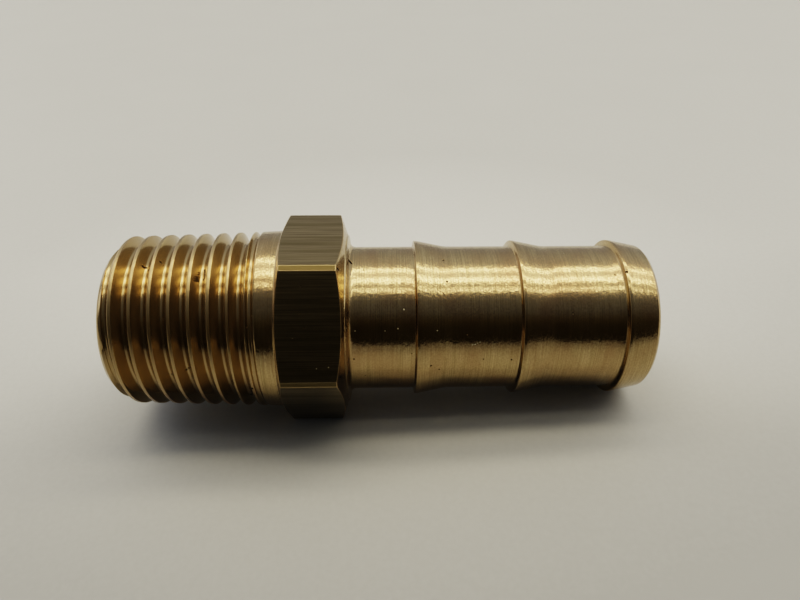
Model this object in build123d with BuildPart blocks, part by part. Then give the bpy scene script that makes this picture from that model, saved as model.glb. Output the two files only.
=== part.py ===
"""Hose barb tail: a one-piece turned brass fitting with a male R1/4 pipe end and a tail for 11 mm hose.

The bore runs along X. The origin is on the bore's axis, where the plain collar of the pipe end meets the
hexagon. The pipe end points to -X and the hose end to +X, and a flat of the hexagon faces down.
Sizes are in millimetres.
"""

import os
from math import radians, tan

from build123d import *

# Pipe end: the taper blank of an R1/4 thread, which is the envelope of the thread's crests
THREAD_TAPER = 1 / 16  # on the diameter
THREAD_GAUGE_DIAMETER = 13.157
THREAD_GAUGE_LENGTH = 6.0  # from the small end to the gauge plane
PIPE_END_LENGTH = 12.4  # from the small end to the hexagon
LEAD_START_DIAMETER = 10.86
LEAD_ANGLE = 45.0
COLLAR_FILLET = 0.2

# Hexagon, turned to a shallow cone on both sides
HEX_ACROSS_FLATS = 14.0
HEX_CORNER_RADIUS = 0.6
HEX_LENGTH = 4.6  # along the middle of a flat
HEX_PIPE_SIDE_ANGLE = 18.0  # from square to the axis
HEX_HOSE_SIDE_ANGLE = 18.5

# Step between the hexagon and the tail
STEP_DIAMETER = 13.0
STEP_DEPTH = 0.1
STEP_FACE_ANGLE = 10.0

# Hose tail
TAIL_LENGTH = 22.65  # from the middle of the hexagon's hose-side edge to the hose end
TAIL_ROOT_DIAMETER = 11.0
TAIL_FOOT_FILLET = 0.4
BARB_DIAMETER = 11.9
BARB_COUNT = 3
BARB_PITCH = 7.5
BARB_LAND = 0.2
BARB_BACK_LEAN = 0.1  # how far the steep back of a barb leans over its height
BARB_RAMP_ANGLE = 11.5
BARB_RAMP_FILLET = 3.0
LAST_BARB_TO_END = 2.4
NOSE_CHAMFER = 0.25
NOSE_FILLET = 0.2

# Bore, straight through
BORE_DIAMETER = 8.0
BORE_CHAMFER = 0.3

pipe_end = -PIPE_END_LENGTH
hose_end = HEX_LENGTH + TAIL_LENGTH
overall_length = hose_end - pipe_end
root_radius = TAIL_ROOT_DIAMETER / 2
barb_radius = BARB_DIAMETER / 2
flat_radius = HEX_ACROSS_FLATS / 2
# the turned cones run out past the corners of the bar they are cut from
clear_radius = HEX_ACROSS_FLATS * 0.75


def blank_radius(x):
    """Radius of the pipe end's taper at x."""
    gauge_plane = pipe_end + THREAD_GAUGE_LENGTH
    return (THREAD_GAUGE_DIAMETER + (x - gauge_plane) * THREAD_TAPER) / 2


def corner_at(sketch, point):
    """The sketch's corner nearest to the point."""
    return sketch.vertices().sort_by_distance((*point, 0))[0]


# The lead cone starts at the end face and runs out on the taper
lead_start_radius = LEAD_START_DIAMETER / 2
lead_rise = tan(radians(LEAD_ANGLE))
lead_length = (blank_radius(pipe_end) - lead_start_radius) / (lead_rise - THREAD_TAPER / 2)
lead_top = pipe_end + lead_length

collar_radius = blank_radius(0)
pipe_side_run = (clear_radius - collar_radius) * tan(radians(HEX_PIPE_SIDE_ANGLE))
hose_side_slope = tan(radians(HEX_HOSE_SIDE_ANGLE))
hose_side_run = (clear_radius - flat_radius) * hose_side_slope
step_radius = STEP_DIAMETER / 2
step_start = HEX_LENGTH + (flat_radius - step_radius) * hose_side_slope
step_face_radius = step_radius - STEP_DEPTH
step_face_start = step_start + STEP_DEPTH
tail_foot = step_face_start + (step_face_radius - root_radius) * tan(radians(STEP_FACE_ANGLE))

ramp_slope = tan(radians(BARB_RAMP_ANGLE))
barb_height = barb_radius - root_radius
ramp_length = barb_height / ramp_slope
first_barb = hose_end - LAST_BARB_TO_END - (BARB_COUNT - 1) * BARB_PITCH
barb_starts = [first_barb + number * BARB_PITCH for number in range(BARB_COUNT)]
ramp_feet = [(start + BARB_LAND + ramp_length, root_radius) for start in barb_starts[:-1]]
nose_start = hose_end - NOSE_CHAMFER
nose_radius = barb_radius - (nose_start - barb_starts[-1] - BARB_LAND) * ramp_slope
nose_face_radius = nose_radius - NOSE_CHAMFER

# a chamfer may not take more than half of the thin wall at the hose end
bore_radius = BORE_DIAMETER / 2
end_wall = nose_face_radius - bore_radius
bore_chamfer = min(BORE_CHAMFER, end_wall / 2)

collar_corner = (0, collar_radius)
foot_corner = (tail_foot, root_radius)
nose_corners = [(nose_start, nose_radius), (hose_end, nose_face_radius)]

outline = [
    (pipe_end, 0),
    (pipe_end, lead_start_radius),
    (lead_top, blank_radius(lead_top)),
    collar_corner,
    (pipe_side_run, clear_radius),
    (HEX_LENGTH - hose_side_run, clear_radius),
    (step_start, step_radius),
    (step_face_start, step_face_radius),
    foot_corner,
]
for start in barb_starts:
    outline += [
        (start - BARB_BACK_LEAN, root_radius),
        (start, barb_radius),
        (start + BARB_LAND, barb_radius),
    ]
    if start != barb_starts[-1]:
        outline += [(start + BARB_LAND + ramp_length, root_radius)]
outline += nose_corners + [(hose_end, 0)]

with BuildPart() as hose_tail:
    # hexagon bar, with a flat down
    with BuildSketch(Plane.YZ.offset(pipe_end)):
        RegularPolygon(flat_radius, side_count=6, major_radius=False)
        fillet(vertices(), HEX_CORNER_RADIUS)
    extrude(amount=overall_length)

    # everything but the flats is turned on one centre
    with BuildSketch(Plane.XZ) as turning:
        with BuildLine():
            Polyline(*outline, close=True)
        make_face()
        fillet(corner_at(turning, collar_corner), COLLAR_FILLET)
        fillet(corner_at(turning, foot_corner), TAIL_FOOT_FILLET)
        fillet([corner_at(turning, point) for point in ramp_feet], BARB_RAMP_FILLET)
        fillet([corner_at(turning, point) for point in nose_corners], NOSE_FILLET)
    revolve(axis=Axis.X, mode=Mode.INTERSECT)

    # bore
    with BuildSketch(Plane.YZ.offset(pipe_end)):
        Circle(bore_radius)
    extrude(amount=overall_length, mode=Mode.SUBTRACT)
    chamfer(edges(Select.LAST).filter_by(GeomType.CIRCLE), bore_chamfer)

hose_tail.part.label = "hose_tail"
hose_tail.part.color = Color(0.71, 0.56, 0.27)

os.makedirs("parts", exist_ok=True)
export_step(hose_tail.part, "parts/hose_tail.step")
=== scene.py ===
"""Looks of the brass hose barb tail: its cut thread, wear and finish, the table, the light and the camera."""

from math import cos, pi, radians, sin, tan

import bpy
import numpy as np
from mathutils import Euler, Matrix, Vector


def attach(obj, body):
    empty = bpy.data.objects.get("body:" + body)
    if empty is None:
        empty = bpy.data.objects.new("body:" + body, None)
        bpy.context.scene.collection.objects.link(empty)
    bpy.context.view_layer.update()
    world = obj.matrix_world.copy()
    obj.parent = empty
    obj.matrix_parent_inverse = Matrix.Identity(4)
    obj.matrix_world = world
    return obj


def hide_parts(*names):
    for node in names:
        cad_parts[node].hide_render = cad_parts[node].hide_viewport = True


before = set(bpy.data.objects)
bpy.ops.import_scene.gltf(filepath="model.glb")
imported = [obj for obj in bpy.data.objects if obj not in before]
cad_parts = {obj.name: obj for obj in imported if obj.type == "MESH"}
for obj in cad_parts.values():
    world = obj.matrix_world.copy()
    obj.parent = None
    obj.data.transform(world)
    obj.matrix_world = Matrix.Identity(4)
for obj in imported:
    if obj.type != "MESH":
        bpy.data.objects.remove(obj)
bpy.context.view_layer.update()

# Lengths are in millimetres up to the mesh, which is in metres. x runs along the fitting's axis.
# Angles round the axis are measured from -Y, the front, up towards +Z.
MM = 0.001
TURN = 2 * pi

# --- sizes of the fitting -------------------------------------------------------------------------
PIPE_END = -12.4
HOSE_END = 27.25
THREAD_TAPER = 1 / 16
THREAD_END_RADIUS = 6.391
LEAD_START_RADIUS = 5.43
COLLAR_FILLET = 0.2
FLAT_RADIUS = 7.0
CORNER_FACET = 7.955
FACET_REACH = radians(1.2)
SCUFFED_LIT_SIDE = radians(-1.6)  # the side of each corner that is worn and carries a painted highlight, from the corner
LIT_SCUFF_REACH = radians(0.2)
DRAWN_START = 0.1  # the bar's drawn skin is left from here to the end of the hexagon
HEX_LENGTH = 4.6
PIPE_SIDE_ANGLE = radians(18)
HOSE_SIDE_ANGLE = radians(18.5)
STEP_RADIUS = 6.5
STEP_DEPTH = 0.1
STEP_FACE_ANGLE = radians(10)
ROOT_RADIUS = 5.5
FOOT_FILLET = 0.4
BARB_RADIUS = 5.95
BARB_BACKS = (9.75, 17.25, 24.75)
BARB_LEAN = 0.1
BARB_LAND = 0.2
RAMP_ANGLE = radians(11.5)
RAMP_FILLET = 3.0
NOSE_CHAMFER = 0.25
NOSE_FILLET = 0.2
BORE_RADIUS = 4.0
BORE_CHAMFER = 0.3
WORN_EDGE = 0.07
CRISP_EDGE = 0.03
SHARP_ANGLE = radians(50)

# --- the cut thread -------------------------------------------------------------------------------
PITCH = 1.337
FLANK_ANGLE = radians(27.5)
CREST_FLAT = 0.24
ROOT_ROUND = 0.22
CREST_DROP = 0.02
CREST_DROP_FADE = 1.0
NARROWEST_GROOVE = 0.05  # half width that a groove keeps after it has run out
FIRST_GROOVE = 1.9306  # distance of the groove's centre from the pipe end, at the front
GROOVE_TURNS = range(-2, 10)
# The cutter leaves the metal over the last turns. Each row is the turns of groove, the distance from the
# pipe end and the share of the full depth.
RUN_OUT = (
    (5.25, 8.95, 1.0),
    (5.5, 9.28, 1.0),
    (5.75, 9.59, 1.0),
    (6.0, 9.87, 0.95),
    (6.25, 10.09, 0.8),
    (6.5, 10.25, 0.6),
    (6.75, 10.43, 0.4),
    (7.0, 10.75, 0.3),
    (7.25, 11.05, 0.15),
    (7.5, 11.33, 0.0),
)
FRONT_TURN = 35.22 / 360


# --- columns of the mesh --------------------------------------------------------------------------
HEX_SIDES = 6
SIDE_DEGREES = 360 / HEX_SIDES
HALF_SIDE = pi / HEX_SIDES  # angle from a corner of the hexagon to the middle of a flat
# Columns close to a corner of the hexagon, in degrees from it.
CORNER_COLUMNS = (-3.4, -2.5, -2.1, -1.75, -1.45, -1.1, -0.4, 0.4, 1.1, 1.45, 1.75, 2.1, 2.5, 3.4)
FLAT_COLUMNS = 26


def ring_angles():
    """Angles of the mesh's columns, close together over the six flattened corners of the hexagon."""
    flat_end = SIDE_DEGREES + CORNER_COLUMNS[0]
    flat = np.linspace(CORNER_COLUMNS[-1], flat_end, FLAT_COLUMNS + 2)[1:-1]
    sector = np.concatenate([CORNER_COLUMNS, flat])
    around = np.concatenate([sector + SIDE_DEGREES * side for side in range(HEX_SIDES)])
    return np.radians(around)


ANGLES = ring_angles()
COLUMNS = len(ANGLES)


def from_corner(angles):
    """Angle from the nearest corner of the hexagon."""
    return (angles + HALF_SIDE) % (2 * HALF_SIDE) - HALF_SIDE


def hexagon_radius(angles):
    """Distance of the hexagon's outline from the axis, with the drawn bar's corners flattened."""
    off_corner = np.abs(from_corner(angles))
    return np.minimum(FLAT_RADIUS / np.cos(HALF_SIDE - off_corner), CORNER_FACET / np.cos(off_corner))


def blank_radius(from_end):
    """Radius of the tapered blank that the thread is cut in."""
    return THREAD_END_RADIUS + from_end * THREAD_TAPER / 2


FILLET_SHARE = 0.48  # the most that a fillet takes of the stretch on each side of it


def rounded_path(corners):
    """Rows of (x, radius, edge) along a path through the corners.

    A corner is (x, radius, fillet, arc rows, rows to the next corner, edge). Its x and radius are each one
    number or a number for every column.
    """
    spots = [np.stack(np.broadcast_arrays(c[0], c[1], ANGLES)[:2]).astype(float) for c in corners]
    rows_after = [corner[4] for corner in corners]
    rows = [(spots[0][0], spots[0][1], 0.0)]
    last = spots[0]
    for i in range(1, len(corners) - 1):
        before, here, after = spots[i - 1], spots[i], spots[i + 1]
        _, _, fillet, arc_rows, _, edge = corners[i]
        into, out = here - before, after - here
        into_length, out_length = np.hypot(*into), np.hypot(*out)
        into, out = into / into_length, out / out_length
        half_turn = np.arccos(np.clip((into * out).sum(0), -1, 1)) / 2
        longest = FILLET_SHARE * np.minimum(into_length, out_length)
        reach = np.minimum(fillet * np.tan(half_turn), longest)
        start, end, weight = here - into * reach, here + out * reach, np.cos(half_turn)
        rows += between(last, start, rows_after[i - 1])
        for k in range(arc_rows + 1):
            t = k / arc_rows
            share = (1 - t) ** 2 + 2 * weight * t * (1 - t) + t * t
            spot = ((1 - t) ** 2 * start + 2 * weight * t * (1 - t) * here + t * t * end) / share
            rows.append((spot[0], spot[1], edge * 4 * t * (1 - t) if arc_rows > 1 else edge))
        last = end
    rows += between(last, spots[-1], rows_after[-2])
    rows.append((spots[-1][0], spots[-1][1], 0.0))
    return rows


def between(start, end, count):
    """Rows evenly spaced inside a straight stretch."""
    return [tuple(start + (end - start) * k / count) + (0.0,) for k in range(1, count)]


def outline():
    """Corners of the fitting from the collar, over the hexagon, tail and nose, and back through the bore."""
    hexagon = hexagon_radius(ANGLES)
    collar_radius = blank_radius(-PIPE_END)
    pipe_side = (hexagon - collar_radius) * tan(PIPE_SIDE_ANGLE)
    hose_side = HEX_LENGTH - (hexagon - FLAT_RADIUS) * tan(HOSE_SIDE_ANGLE)
    step_start = HEX_LENGTH + (FLAT_RADIUS - STEP_RADIUS) * tan(HOSE_SIDE_ANGLE)
    step_end = step_start + STEP_DEPTH
    step_low = STEP_RADIUS - STEP_DEPTH
    foot = step_end + (step_low - ROOT_RADIUS) * tan(STEP_FACE_ANGLE)
    # The last number of each corner is its edge mark: worn above zero, and painted shade of an inner corner
    # below zero.
    path = [
        (-COLLAR_FILLET, blank_radius(-PIPE_END - COLLAR_FILLET), 0, 0, 1, 0),
        (0.0, collar_radius, COLLAR_FILLET, 3, 3, -1),
        (pipe_side, hexagon, WORN_EDGE, 3, 14, 1),
        (hose_side, hexagon, WORN_EDGE, 3, 4, 1),
        (step_start, STEP_RADIUS, CRISP_EDGE, 2, 1, 0.6),
        (step_end, step_low, CRISP_EDGE, 2, 2, 0.6),
        (foot, ROOT_RADIUS, FOOT_FILLET, 4, 7, -0.35),
    ]
    height = BARB_RADIUS - ROOT_RADIUS
    for back in BARB_BACKS:
        crest = back + BARB_LEAN
        path.append((back, ROOT_RADIUS, CRISP_EDGE, 1, 2, -1))
        path.append((crest, BARB_RADIUS, CRISP_EDGE, 2, 1, 1))
        path.append((crest + BARB_LAND, BARB_RADIUS, WORN_EDGE, 2, 4, 0.6))
        path.append((crest + BARB_LAND + height / tan(RAMP_ANGLE), ROOT_RADIUS, RAMP_FILLET, 3, 8, 0))
    path.pop()
    ramp_end = HOSE_END - NOSE_CHAMFER
    ramp_start = BARB_BACKS[-1] + BARB_LEAN + BARB_LAND
    nose_radius = BARB_RADIUS - (ramp_end - ramp_start) * tan(RAMP_ANGLE)
    path += [
        (ramp_end, nose_radius, NOSE_FILLET, 3, 2, 0),
        (HOSE_END, nose_radius - NOSE_CHAMFER, NOSE_FILLET, 3, 3, 0),
        (HOSE_END, BORE_RADIUS + BORE_CHAMFER, CRISP_EDGE, 2, 2, 0.5),
        (HOSE_END - BORE_CHAMFER, BORE_RADIUS, CRISP_EDGE, 2, 12, 0.5),
        (PIPE_END + BORE_CHAMFER, BORE_RADIUS, CRISP_EDGE, 2, 2, 0.5),
        (PIPE_END, BORE_RADIUS + BORE_CHAMFER, CRISP_EDGE, 2, 3, 0.5),
        (PIPE_END, LEAD_START_RADIUS, WORN_EDGE, 2, 1, 1),
        (PIPE_END + WORN_EDGE, LEAD_START_RADIUS + WORN_EDGE, 0, 0, 1, 0),
    ]
    return rounded_path(path)


def groove_at(turns):
    """The groove after some turns.

    Gives its centre, its half width, the depth of its round root's centre and its share of the full depth.
    """
    nominal = FIRST_GROOVE + PITCH * turns
    cut_turns, cut_centres, cut_depths = (np.array(column) for column in zip(*RUN_OUT))
    centre = np.where(turns < cut_turns[0], nominal, np.interp(turns, cut_turns, cut_centres))
    beyond = turns > cut_turns[-1]
    centre = np.where(beyond, cut_centres[-1] + PITCH * (turns - cut_turns[-1]), centre)
    share = np.where(beyond, 0.0, np.interp(turns, cut_turns, cut_depths))
    full_depth = (PITCH - CREST_FLAT) / 2 / tan(FLANK_ANGLE) - ROOT_ROUND * (1 / sin(FLANK_ANGLE) - 1)
    round_centre = share * full_depth - ROOT_ROUND
    flank_top = round_centre + ROOT_ROUND * sin(FLANK_ANGLE)
    on_flank = ROOT_ROUND * cos(FLANK_ANGLE) + flank_top * tan(FLANK_ANGLE)
    on_round = np.sqrt(np.clip(ROOT_ROUND**2 - round_centre**2, 0, None))
    width = np.maximum(np.where(flank_top > 0, on_flank, on_round), NARROWEST_GROOVE)
    return centre, width, round_centre, share


def groove_depth(offset, round_centre):
    """Depth of the cut at a distance from the groove's centre."""
    offset = np.abs(offset)
    on_round = offset < ROOT_ROUND * cos(FLANK_ANGLE)
    bottom = round_centre + np.sqrt(np.clip(ROOT_ROUND**2 - offset**2, 0, None))
    flank = round_centre + ROOT_ROUND / sin(FLANK_ANGLE) - offset / tan(FLANK_ANGLE)
    return np.clip(np.where(on_round, bottom, flank), 0, None)


# Rows of the mesh across a groove, in shares of its half width, and across the crest that follows it.
# The second number is how far the finish treats the row as a worn edge.
GROOVE_ROWS = (
    (-1.0, 0.2),
    (-0.93, 0.0),
    (-0.7, 0.0),
    (-0.36, 0.0),
    (-0.27, 0.0),
    (-0.15, 0.0),
    (0.0, 0.0),
    (0.15, 0.0),
    (0.27, 0.0),
    (0.36, 0.0),
    (0.7, 0.0),
    (0.93, 0.0),
)
CREST_ROWS = ((0.0, 0.3), (0.12, 0.8), (0.5, 0.8), (0.88, 0.8))
CREST_CUTS = (0.015, 0.004, 0.0, 0.004)


def thread_rows():
    """Rows of (distance from pipe end, depth of cut, edge) that follow the thread round the fitting."""
    rows = []
    for turn in GROOVE_TURNS:
        turns = turn + FRONT_TURN - ANGLES / TURN
        centre, width, round_centre, share = groove_at(turns)
        next_centre, next_width, _, next_share = groove_at(turns + 1)
        for part, edge in GROOVE_ROWS:
            rows.append((centre + part * width, groove_depth(part * width, round_centre), edge * share))
        start, end = centre + width, next_centre - next_width
        for (part, edge), cut in zip(CREST_ROWS, CREST_CUTS):
            rows.append((start + part * (end - start), np.full(COLUMNS, cut), edge * next_share))
    return rows


class Surface:
    """Points, faces and the per-point marks that the finish reads."""

    def __init__(self):
        self.points, self.faces = [], []
        self.marks = {"groove": [], "edge": [], "flat": []}
        self.count = 0

    def add(self, x, radius, angle, groove=0.0, edge=0.0, flat=0.0):
        """Adds points and returns their numbers."""
        x, radius, angle, groove, edge, flat = np.broadcast_arrays(x, radius, angle, groove, edge, flat)
        self.points.append(np.stack([x, radius, angle], 1))
        for name, values in (("groove", groove), ("edge", edge), ("flat", flat)):
            self.marks[name].append(values)
        first = self.count
        self.count += len(x)
        return np.arange(first, self.count)

    def join(self, lower, upper, lower_last, upper_last):
        """Faces between two rows of point numbers. The last column goes on to the numbers given for it."""
        lower_next = np.append(lower[1:], lower_last)
        upper_next = np.append(upper[1:], upper_last)
        for face in zip(lower, upper, upper_next, lower_next):
            corners = [c for i, c in enumerate(face) if c != face[i - 1]]
            if len(set(corners)) > 2:
                self.faces.append([int(c) for c in corners])


def build_surface():
    """The whole skin of the fitting: the plain outline joined to the thread at both its ends."""
    surface = Surface()
    path = outline()
    flat_reach = 1e-6
    hexagon = hexagon_radius(ANGLES)
    # Painted highlight on worn metal: one side of each hexagon corner gets the worn edges' lighter colour.
    scuffed_lit = np.abs(from_corner(ANGLES) - SCUFFED_LIT_SIDE) < LIT_SCUFF_REACH
    facet = np.abs(from_corner(ANGLES)) < FACET_REACH
    numbers = []
    for x, radius, edge in path:
        on_hexagon = np.abs(radius - hexagon) < flat_reach
        inside = (x > DRAWN_START) & (x < HEX_LENGTH)
        drawn = on_hexagon & inside
        marked = np.maximum(edge, drawn & scuffed_lit)
        numbers.append(surface.add(x, radius, ANGLES, edge=marked, flat=drawn * (1.0 + facet)))
    for lower, upper in zip(numbers, numbers[1:]):
        surface.join(lower, upper, lower[0], upper[0])
    thread_first, thread_last = numbers[-1], numbers[0]
    low, high = WORN_EDGE, -PIPE_END - COLLAR_FILLET
    sliver = 0.012
    thread = []
    for at, cut, edge in thread_rows():
        blank = blank_radius(at) - cut - CREST_DROP * np.clip((high - at) / CREST_DROP_FADE, 0, 1)
        radius = np.minimum(blank, LEAD_START_RADIUS + at)
        ids = surface.add(at + PIPE_END, radius, ANGLES, groove=np.clip(cut, 0, 1), edge=edge)
        ids = np.where(at < low + sliver, thread_first, np.where(at > high - sliver, thread_last, ids))
        thread.append(ids)
    per_turn = len(GROOVE_ROWS) + len(CREST_ROWS)
    wrap = [thread_first[0]] * per_turn + [row[0] for row in thread]
    for k in range(len(thread) - 1):
        surface.join(thread[k], thread[k + 1], wrap[k], wrap[k + 1])
    return surface


def make_mesh(surface):
    """The surface as a mesh in metres, without unused points."""
    points = np.concatenate(surface.points)
    x, radius, angle = points.T
    places = np.stack([x, -radius * np.cos(angle), radius * np.sin(angle)], 1) * MM
    used = np.zeros(len(points), bool)
    for face in surface.faces:
        used[face] = True
    renumber = np.cumsum(used) - 1
    mesh = bpy.data.meshes.new("hose_barb_tail")
    faces = [[int(renumber[c]) for c in face] for face in surface.faces]
    mesh.from_pydata(places[used].tolist(), [], faces)
    for name, values in surface.marks.items():
        layer = mesh.attributes.new(name, "FLOAT", "POINT")
        layer.data.foreach_set("value", np.concatenate(values)[used].astype(np.float32))
    mesh.validate()
    for polygon in mesh.polygons:
        polygon.use_smooth = True
    mesh.set_sharp_from_angle(angle=SHARP_ANGLE)
    return mesh


surface = build_surface()
mesh = make_mesh(surface)
piece = bpy.data.objects.new("hose_barb_tail", mesh)
bpy.context.scene.collection.objects.link(piece)
normals = piece.modifiers.new("face_area_normals", "WEIGHTED_NORMAL")
normals.keep_sharp = True
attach(piece, "root")
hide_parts("hose_tail")


# --- finish ---------------------------------------------------------------------------------------
# Small dark flaws: x, angle round the axis in degrees, size.
PITS = (
    (-5.14, 71.0, 0.10),
    (-5.09, 69.1, 0.10),
    (-5.03, 66.8, 0.10),
    (-5.02, 65.0, 0.10),
    (-5.01, 63.4, 0.10),
    (-5.10, 62.9, 0.08),
    (5.09, 81.2, 0.16),
    (5.17, 80.0, 0.12),
    (5.00, 80.2, 0.09),
    (4.95, 89.4, 0.10),
    (11.88, 82.8, 0.10),
    (12.02, 61.7, 0.09),
    (10.85, -2.1, 0.08),
    (11.46, -7.0, 0.07),
    (14.63, 1.3, 0.06),
    (9.47, 6.8, 0.06),
    (16.66, 0.4, 0.07),
    (5.36, 2.5, 0.07),
    (6.14, -15.4, 0.07),
    (6.08, 73.2, 0.07),
    (-9.49, 74.5, 0.12),
    (-9.34, 74.9, 0.10),
    (-8.27, 76.7, 0.09),
    (-7.60, -8.2, 0.08),
    (-6.28, -2.0, 0.10),
    (-6.45, -3.0, 0.09),
    (-6.19, -12.2, 0.10),
    (-2.38, -35.3, 0.16),
    (-1.87, -13.0, 0.10),
    (4.41, 60.8, 0.10),
    (24.93, 66.5, 0.12),
    (24.22, 67.0, 0.08),
)
# Small bright ones, in the same way.
SPECKS = (
    (8.92, 40.6, 0.07),
    (8.47, 26.6, 0.06),
    (7.58, 25.0, 0.05),
    (5.48, 25.2, 0.05),
    (11.25, 25.3, 0.05),
    (13.76, 13.8, 0.06),
    (13.94, 14.0, 0.06),
    (14.10, 15.0, 0.04),
    (14.30, 15.8, 0.04),
    (3.73, 8.5, 0.035),
    (2.91, 7.9, 0.035),
    (1.32, 23.8, 0.03),
)
# The flaws are placed on the fitting's skin, laid flat from this radius. They have no radius of their own, so
# they show on the bore's wall too and smear on faces that stand across the axis.
UNROLLED_RADIUS = 6.0
FLAW_CORE = 0.6  # share of a flaw's size inside which it is at its full strength


class Finish:
    """Adds nodes to a material, each joined to its inputs, and gives back their outputs."""

    def __init__(self, material):
        self.tree = material.node_tree

    def add(self, kind, inputs, **settings):
        node = self.tree.nodes.new("ShaderNode" + kind)
        for name, value in settings.items():
            setattr(node, name, value)
        for key, value in inputs.items():
            if isinstance(value, bpy.types.NodeSocket):
                self.tree.links.new(value, node.inputs[key])
            else:
                node.inputs[key].default_value = value
        return node.outputs

    def maths(self, operation, first, second=0.0):
        return self.add("Math", {0: first, 1: second}, operation=operation)["Value"]

    def spread(self, value, low, high, new_low=0.0, new_high=1.0):
        limits = {"Value": value, "From Min": low, "From Max": high, "To Min": new_low, "To Max": new_high}
        return self.add("MapRange", limits)["Result"]

    def noise(self, spot, stretch, detail, roughness=0.5):
        """Noise with a number of grains to the metre along each axis."""
        scaled = self.add("VectorMath", {0: spot, 1: stretch}, operation="MULTIPLY")["Vector"]
        settings = {"Vector": scaled, "Scale": 1.0, "Detail": detail, "Roughness": roughness}
        return self.add("TexNoise", settings)["Fac"]

    def mix(self, share, first, second):
        return self.add("MixRGB", {"Fac": share, "Color1": first, "Color2": second})["Color"]

    def blend(self, share, first, second):
        """Number between two others."""
        settings = {"Value": share, "To Min": first, "To Max": second}
        return self.add("MapRange", settings)["Result"]

    def grey(self, value):
        return self.add("CombineXYZ", {"X": value, "Y": value, "Z": value})["Vector"]

    def mark(self, name):
        return self.add("Attribute", {}, attribute_name=name)["Fac"]

    def unrolled(self, spot):
        """Place along the axis and round it, as on a skin laid flat."""
        parts = self.add("SeparateXYZ", {"Vector": spot})
        angle = self.maths("ARCTAN2", parts["Z"], self.maths("MULTIPLY", parts["Y"], -1))
        round_it = self.maths("MULTIPLY", angle, UNROLLED_RADIUS * MM)
        return self.add("CombineXYZ", {"X": parts["X"], "Y": round_it})["Vector"]

    def spots(self, spot, flaws):
        """1 inside the flaws and 0 outside."""
        covered = 0.0
        for x, degrees, size in flaws:
            centre = (x * MM, radians(degrees) * UNROLLED_RADIUS * MM, 0)
            away = self.add("VectorMath", {0: spot, 1: centre}, operation="DISTANCE")["Value"]
            covered = self.maths("MAXIMUM", self.spread(away, size * MM, size * MM * FLAW_CORE), covered)
        return covered


def colour(red, green, blue):
    return (red, green, blue, 1)


# Noises of the brass: grains to the metre along each axis, detail and, for one of them, roughness.
TURNING = ((14000, 220, 220), 3)
COARSE_TURNING = ((2600, 90, 90), 2)
DRAWING = ((160, 13000, 13000), 4, 0.6)
BROAD_DRAWING = ((60, 1500, 1500), 2)
GRAIN = ((10000, 8000, 8000), 2)
BLOTCHES = ((500, 330, 330), 5)
DIMPLES = ((5200, 3400, 3400), 2)
GRIT_PATCHES = ((900, 900, 900), 2)

# Values of a noise or a mark between which something goes from none to full.
NOISE_RANGE = (0.3, 0.7)
ROUGH_GRAIN = (0.38, 0.62)
WOBBLE_GRAIN = (0.2, 0.8)
STAINS = (0.42, 0.70)
OIL_STREAKS = (0.45, 0.75)
WORN_AND_LIT_MARKS = (0.05, 0.75)
CORNER_SHADE_MARKS = (-0.1, -0.8)
CUT_MARKS = (0.02, 0.25)
FACET_MARKS = (1.0, 2.0)

# Colours of the brass. A pair goes from the dark to the light parts of a noise.
TURNED_BRASS = (colour(0.375, 0.28, 0.145), colour(0.60, 0.46, 0.25))
STAINED_BRASS = colour(0.42, 0.29, 0.155)
DRAWN_BRASS = (colour(0.14, 0.107, 0.06), colour(0.345, 0.28, 0.165))
OILY_BRASS = colour(0.14, 0.11, 0.05)
# Drawn skin with painted shade: the flattened corners of the hexagon are made darker, so they show less of
# the bright strips.
FACET_SKIN_AND_SHADE = colour(0.07, 0.055, 0.024)
GROOVE_BRASS = (colour(0.35, 0.255, 0.13), colour(0.52, 0.39, 0.215))
# Worn brass. On one side of each hexagon corner it is also a painted highlight.
WORN_AND_LIT_BRASS = colour(0.43, 0.32, 0.175)
# Painted shade: darker brown in the inner corners, at the collar, the tail's foot and the root of each barb's
# back.
CORNER_SHADE_PAINT = colour(0.20, 0.11, 0.03)
PIT_DIRT = colour(0.02, 0.012, 0.005)
BRIGHT_SPECK = colour(0.95, 0.88, 0.62)

SPECKLE = (0.86, 1.12)
FACET_SHARE = 0.8
WORN_AND_LIT_SHARE = 0.65
CORNER_SHADE_SHARE = 0.6

GRIT_SCALE = 1400.0
GRIT_EDGE = (0.11, 0.05)
GRIT_WHERE = (0.58, 0.62)
GRIT_SHARE = 0.6
FLAW_WOBBLE = (-0.00004, 0.00004)

TURNED_ROUGHNESS = (0.24, 0.09)
DRAWN_ROUGHNESS = 0.34
GROOVE_ROUGHNESS = 0.17
WORN_ROUGHNESS = 0.28
DIRT_ROUGHNESS = 0.4
DULL_METAL = 0.93
SPECK_METAL = 0.3

# Heights of the relief, as shares of RELIEF_HEIGHT in metres. The turning and drawing lines are 1 high.
GRAIN_HEIGHT = 0.6
COARSE_HEIGHT = 1.8
DIMPLE_HEIGHTS = (10.0, 1.5)  # on the turned faces, and on the flats and in the grooves
PIT_DEPTH = 12.0
RELIEF_HEIGHT = 0.0000012


def brass_flaws(finish, spot, grain):
    """The dark pits and grit, and the bright specks, as 1 inside them and 0 outside."""
    wobble = finish.add("CombineXYZ", {"X": finish.spread(grain, *WOBBLE_GRAIN, *FLAW_WOBBLE)})["Vector"]
    shaken = finish.add("VectorMath", {0: finish.unrolled(spot), 1: wobble}, operation="ADD")["Vector"]
    pits = finish.spots(shaken, PITS)
    specks = finish.spots(shaken, SPECKS)
    grit = finish.add("TexVoronoi", {"Vector": spot, "Scale": GRIT_SCALE})
    grit_here = finish.spread(grit["Distance"], *GRIT_EDGE)
    rare = finish.spread(finish.noise(spot, *GRIT_PATCHES), *GRIT_WHERE)
    grit_here = finish.maths("MULTIPLY", grit_here, rare)
    dark = finish.maths("MAXIMUM", pits, finish.maths("MULTIPLY", grit_here, GRIT_SHARE))
    return dark, specks


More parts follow.
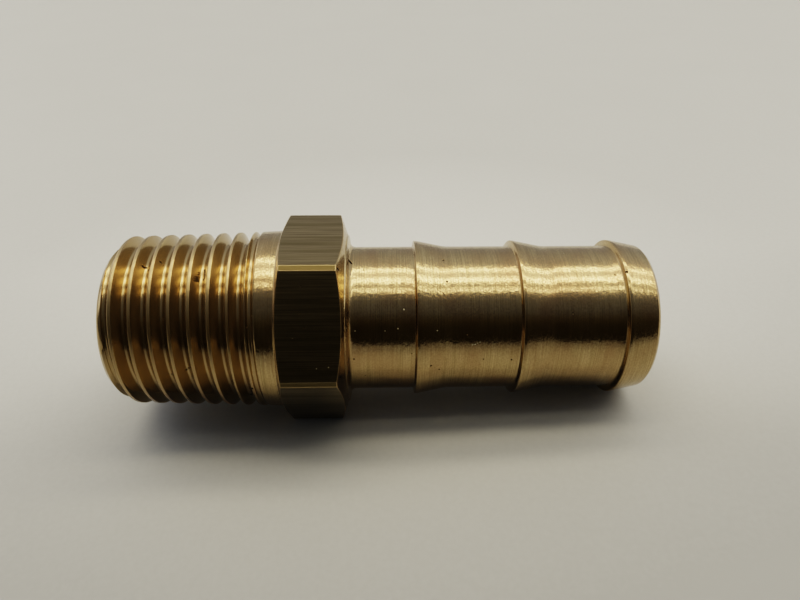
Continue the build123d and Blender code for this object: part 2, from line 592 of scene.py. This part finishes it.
def brass_material():
    """Turned brass with drawn flats, grooves with dirt, wear on the edges, small flaws, painted shade in the
    inner corners and on the hexagon's flattened corners, and a painted highlight beside each hexagon corner.
    """
    material = bpy.data.materials.new("brass")
    material.use_nodes = True
    shader = material.node_tree.nodes["Principled BSDF"]
    finish = Finish(material)
    spot = finish.add("TexCoord", {})["Object"]
    flat, groove, edge = (finish.mark(name) for name in ("flat", "groove", "edge"))
    worn_and_lit = finish.spread(edge, *WORN_AND_LIT_MARKS)
    corner_shade = finish.spread(edge, *CORNER_SHADE_MARKS)
    cut = finish.spread(groove, *CUT_MARKS)
    turning = finish.noise(spot, *TURNING)
    drawing = finish.noise(spot, *DRAWING)
    grain = finish.noise(spot, *GRAIN)
    dark, specks = brass_flaws(finish, spot, grain)

    blotches = finish.noise(spot, *BLOTCHES)
    bright = finish.mix(finish.spread(turning, *NOISE_RANGE), *TURNED_BRASS)
    stained = finish.mix(finish.spread(blotches, *STAINS), bright, STAINED_BRASS)
    speckle = finish.grey(finish.spread(grain, *NOISE_RANGE, *SPECKLE))
    stained = finish.add("VectorMath", {0: stained, 1: speckle}, operation="MULTIPLY")["Vector"]
    drawn = finish.mix(finish.spread(drawing, *NOISE_RANGE), *DRAWN_BRASS)
    oil = finish.spread(finish.noise(spot, *BROAD_DRAWING), *OIL_STREAKS)
    flats_paint = finish.mix(oil, drawn, OILY_BRASS)
    # The flattened corners of the hexagon get drawn skin with painted shade.
    flats_paint = finish.mix(finish.spread(flat, *FACET_MARKS, 0.0, FACET_SHARE), flats_paint, FACET_SKIN_AND_SHADE)
    paint = finish.mix(flat, stained, flats_paint)
    paint = finish.mix(cut, paint, finish.mix(blotches, *GROOVE_BRASS))
    # Worn edges, and the painted highlight on one side of each hexagon corner.
    paint = finish.mix(finish.maths("MULTIPLY", worn_and_lit, WORN_AND_LIT_SHARE), paint, WORN_AND_LIT_BRASS)
    # Painted shade in the inner corners, where the edge mark is below zero.
    paint = finish.mix(finish.maths("MULTIPLY", corner_shade, CORNER_SHADE_SHARE), paint, CORNER_SHADE_PAINT)
    paint = finish.mix(dark, paint, PIT_DIRT)
    paint = finish.mix(specks, paint, BRIGHT_SPECK)
    finish.tree.links.new(paint, shader.inputs["Base Color"])

    rough = finish.spread(grain, *ROUGH_GRAIN, *TURNED_ROUGHNESS)
    rough = finish.blend(flat, rough, DRAWN_ROUGHNESS)
    rough = finish.blend(cut, rough, GROOVE_ROUGHNESS)
    rough = finish.blend(worn_and_lit, rough, WORN_ROUGHNESS)
    rough = finish.maths("ADD", rough, finish.maths("MULTIPLY", dark, DIRT_ROUGHNESS))
    finish.tree.links.new(rough, shader.inputs["Roughness"])

    metal = finish.blend(finish.maths("MAXIMUM", cut, worn_and_lit), 1.0, DULL_METAL)
    metal = finish.blend(specks, metal, SPECK_METAL)
    finish.tree.links.new(metal, shader.inputs["Metallic"])

    coarse_turning = finish.noise(spot, *COARSE_TURNING)
    dimpled = finish.blend(finish.maths("MAXIMUM", flat, cut), *DIMPLE_HEIGHTS)
    dimples = finish.maths("MULTIPLY", finish.noise(spot, *DIMPLES), dimpled)
    relief = finish.blend(flat, turning, drawing)
    relief = finish.maths("ADD", relief, finish.maths("MULTIPLY", grain, GRAIN_HEIGHT))
    relief = finish.maths("ADD", relief, finish.maths("MULTIPLY", coarse_turning, COARSE_HEIGHT))
    relief = finish.maths("ADD", relief, dimples)
    relief = finish.maths("SUBTRACT", relief, finish.maths("MULTIPLY", dark, PIT_DEPTH))
    bump = finish.add("Bump", {"Strength": 1.0, "Distance": RELIEF_HEIGHT, "Height": relief})["Normal"]
    finish.tree.links.new(bump, shader.inputs["Normal"])
    return material


mesh.materials.append(brass_material())


# --- table, light and camera ----------------------------------------------------------------------
def card(name, corners, material):
    """A flat four-cornered stage piece, with its corners in metres."""
    shape = bpy.data.meshes.new(name)
    shape.from_pydata(corners, [], [(0, 1, 2, 3)])
    shape.materials.append(material)
    thing = bpy.data.objects.new(name, shape)
    bpy.context.scene.collection.objects.link(thing)
    return thing


# The board's colours where it is best and worst lit, with the shade painted in, and how much each cause takes
# it from one to the other: painted shade towards the front and away from the fitting, and the board's own
# cloud and fibre.
LIT_AND_SHADED_BOARD = (colour(0.715, 0.74, 0.765), colour(0.44, 0.456, 0.475))
BOARD_MIDDLE = (7 * MM, 8 * MM, 0)
FRONT_SPAN = (20 * MM, -20 * MM)
AWAY_SPAN = (18 * MM, 46 * MM)
CLOUD = ((60, 60, 60), 3)
FIBRE = ((2500, 2500, 2500), 3)
FRONT_PAINTED_SHADE = 0.75
AWAY_PAINTED_SHADE = 0.4
CLOUD_SHADE = 0.04
FIBRE_SHADE = 0.08
DUST = colour(0.20, 0.16, 0.12)
DUST_SCALE = 70.0
DUST_EDGE = (0.012, 0.006)
DUST_SHARE = 0.5
BOARD_ROUGHNESS = 0.6


def table_material():
    """Pale matt board with painted shade, darker towards the front and away from the fitting."""
    material = bpy.data.materials.new("table_grey")
    material.use_nodes = True
    board = Finish(material)
    spot = board.add("TexCoord", {})["Object"]
    front = board.spread(board.add("SeparateXYZ", {"Vector": spot})["Y"], *FRONT_SPAN)
    away = board.add("VectorMath", {0: spot, 1: BOARD_MIDDLE}, operation="DISTANCE")["Value"]
    away = board.maths("MULTIPLY", board.spread(away, *AWAY_SPAN), AWAY_PAINTED_SHADE)
    cloud = board.noise(spot, *CLOUD)
    fibre = board.noise(spot, *FIBRE)
    # Painted shade: darker towards the front and away from the fitting, plus the board's own cloud and fibre.
    shade = board.maths("ADD", board.maths("MULTIPLY", front, FRONT_PAINTED_SHADE), away)
    shade = board.maths("ADD", shade, board.spread(cloud, *NOISE_RANGE, 0.0, CLOUD_SHADE))
    shade = board.maths("ADD", shade, board.spread(fibre, *NOISE_RANGE, 0.0, FIBRE_SHADE))
    dust = board.add("TexVoronoi", {"Vector": spot, "Scale": DUST_SCALE})["Distance"]
    paint = board.mix(board.spread(dust, *DUST_EDGE, 0.0, DUST_SHARE), board.mix(shade, *LIT_AND_SHADED_BOARD), DUST)
    shader = material.node_tree.nodes["Principled BSDF"]
    material.node_tree.links.new(paint, shader.inputs["Base Color"])
    shader.inputs["Roughness"].default_value = BOARD_ROUGHNESS
    return material


# The fitting lies on the hexagon's hose-side edge and its last barb, so the table rises to the hose end.
REST_LOW = (HEX_LENGTH, -FLAT_RADIUS)
REST_HIGH = (BARB_BACKS[-1] + BARB_LEAN, -BARB_RADIUS)
TABLE_SLOPE = (REST_HIGH[1] - REST_LOW[1]) / (REST_HIGH[0] - REST_LOW[0])
TABLE_SPAN = (-900, 900)
CARD_CORNERS = ((0, 0), (1, 0), (1, 1), (0, 1))  # round a card, as numbers of its low and high sides


def table_height(x):
    return REST_LOW[1] + TABLE_SLOPE * (x - REST_LOW[0])


def table_corner(i, j):
    x, y = TABLE_SPAN[i], TABLE_SPAN[j]
    return (x * MM, y * MM, table_height(x) * MM)


card("table", [table_corner(i, j) for i, j in CARD_CORNERS], table_material())


# The phone that took the picture is a dark card just behind the camera. It keeps light off the front, and its
# foot goes down through the table where this camera can't see it.
CAMERA_PLACE = Vector((7.305, -40.699, 28.734)) * MM
CAMERA_TURN = Euler((radians(56.318), radians(-0.606), radians(-1.672)))
SENSOR_WIDTH = 36.0
LENS = 28.482
PHONE_SPAN = ((-50, 100), (-50, 40))
PHONE_SETBACK = 1.0
PHONE_PAINT = colour(0.01, 0.01, 0.01)
# The card's glow, from its foot to its top: share of the height, brightness and warmth. The glow is painted
# light that stands in for the room's light on the phone and on the hands above it, which are lighter.
PHONE_GLOW = (
    (0.30, 0.009, 0.45),
    (0.39, 0.008, 0.45),
    (0.445, 0.012, 0.40),
    (0.52, 0.028, 0.20),
    (0.59, 0.055, -0.05),
    (0.645, 0.075, -0.08),
    (0.78, 0.10, -0.08),
    (0.857, 0.13, -0.06),
    (0.94, 0.20, -0.04),
    (1.0, 0.27, -0.04),
)


def tinted(value, warmth):
    """A grey of some brightness, turned towards red and away from blue."""
    return (value * (1 + warmth), value, value * (1 - 2 * warmth))


def fill_ramp(ramp, stops):
    """Sets the stops of a colour ramp to places and colours."""
    while len(ramp.elements) < len(stops):
        ramp.elements.new(0.5)
    for element, (place, tint) in zip(ramp.elements, stops):
        element.position = place
        element.color = (*tint, 1)


def phone_material():
    """Dark, with a faint painted glow that grows towards the top."""
    material = bpy.data.materials.new("phone_and_hands")
    material.use_nodes = True
    shade = Finish(material)
    height = shade.add("SeparateXYZ", {"Vector": shade.add("TexCoord", {})["Generated"]})["Z"]
    glow = shade.add("ValToRGB", {"Fac": height})["Color"]
    fill_ramp(glow.node.color_ramp, [(place, tinted(value, warmth)) for place, value, warmth in PHONE_GLOW])
    shader = material.node_tree.nodes["Principled BSDF"]
    material.node_tree.links.new(glow, shader.inputs["Emission Color"])
    shader.inputs["Base Color"].default_value = PHONE_PAINT
    shader.inputs["Emission Strength"].default_value = 1.0
    return material


camera_frame = Matrix.Translation(CAMERA_PLACE) @ CAMERA_TURN.to_matrix().to_4x4()
phone_corners = [
    camera_frame @ (Vector((PHONE_SPAN[0][i], PHONE_SPAN[1][j], PHONE_SETBACK)) * MM)
    for i, j in CARD_CORNERS
]
phone = card("phone", phone_corners, phone_material())
phone.visible_camera = False

# The room round the fitting: angle from the front horizon over the top to the back, brightness and warmth.
ROOM = (
    (0, 0.02, 0.0),
    (60, 0.10, 0.0),
    (74, 0.33, 0.0),
    (76, 2.6, 0.15),
    (79.5, 2.6, 0.15),
    (81, 0.40, 0.04),
    (89, 0.45, 0.04),
    (91.5, 3.8, 0.15),
    (98.5, 3.8, 0.15),
    (101, 0.85, 0.05),
    (109, 0.85, 0.05),
    (111.5, 3.8, 0.15),
    (117, 3.8, 0.15),
    (119, 0.66, 0.04),
    (122, 0.51, 0.0),
    (140, 0.43, -0.02),
    (160, 0.32, -0.02),
    (180, 0.28, 0.0),
)
# The bright strips end at each side. Towards both ends of the axis most light comes from the back.
ROOM_SIDES = (
    (0, 0.05, 0.0),
    (70, 0.08, 0.0),
    (95, 0.3, 0.0),
    (120, 1.0, 0.0),
    (170, 1.0, 0.0),
    (180, 0.8, 0.0),
)
# Towards the pipe end (-1) and the hose end (1): the shares of the way where the side light starts, and where
# it has taken over.
SIDES = ((-1.0, 0.42, 0.66), (1.0, 0.64, 0.88))
ROOM_STRENGTH = 1.1


def room_world():
    """A room that changes with the angle round the axis, and has other light towards the ends of the axis."""
    world = bpy.data.worlds.new("room")
    world.use_nodes = True
    room = Finish(world)
    parts = room.add("SeparateXYZ", {"Vector": room.add("TexCoord", {})["Generated"]})
    angle = room.maths("ARCTAN2", parts["Z"], room.maths("MULTIPLY", parts["Y"], -1.0))
    half_turns = room.maths("DIVIDE", angle, pi)
    top = max(value for _, value, _ in ROOM)
    colours = []
    for stops in (ROOM, ROOM_SIDES):
        colours.append(room.add("ValToRGB", {"Fac": half_turns})["Color"])
        tints = [(degrees_up / 180, tinted(value / top, warmth)) for degrees_up, value, warmth in stops]
        fill_ramp(colours[-1].node.color_ramp, tints)
    aside = 0.0
    for way, start, end in SIDES:
        along = room.maths("MULTIPLY", parts["X"], way)
        aside = room.maths("MAXIMUM", room.spread(along, start, end), aside)
    background = world.node_tree.nodes["Background"]
    world.node_tree.links.new(room.mix(aside, *colours), background.inputs["Color"])
    background.inputs["Strength"].default_value = ROOM_STRENGTH * top
    return world


bpy.context.scene.world = room_world()

bpy.context.scene.view_settings.view_transform = "Filmic"
bpy.context.scene.view_settings.look = "High Contrast"

camera_data = bpy.data.cameras.new("camera")
camera_data.sensor_width = SENSOR_WIDTH
camera_data.lens = LENS
camera_data.clip_start = 1 * MM
camera_data.clip_end = 10
camera = bpy.data.objects.new("camera", camera_data)
camera.location = CAMERA_PLACE
camera.rotation_euler = CAMERA_TURN
bpy.context.scene.collection.objects.link(camera)
bpy.context.scene.camera = camera
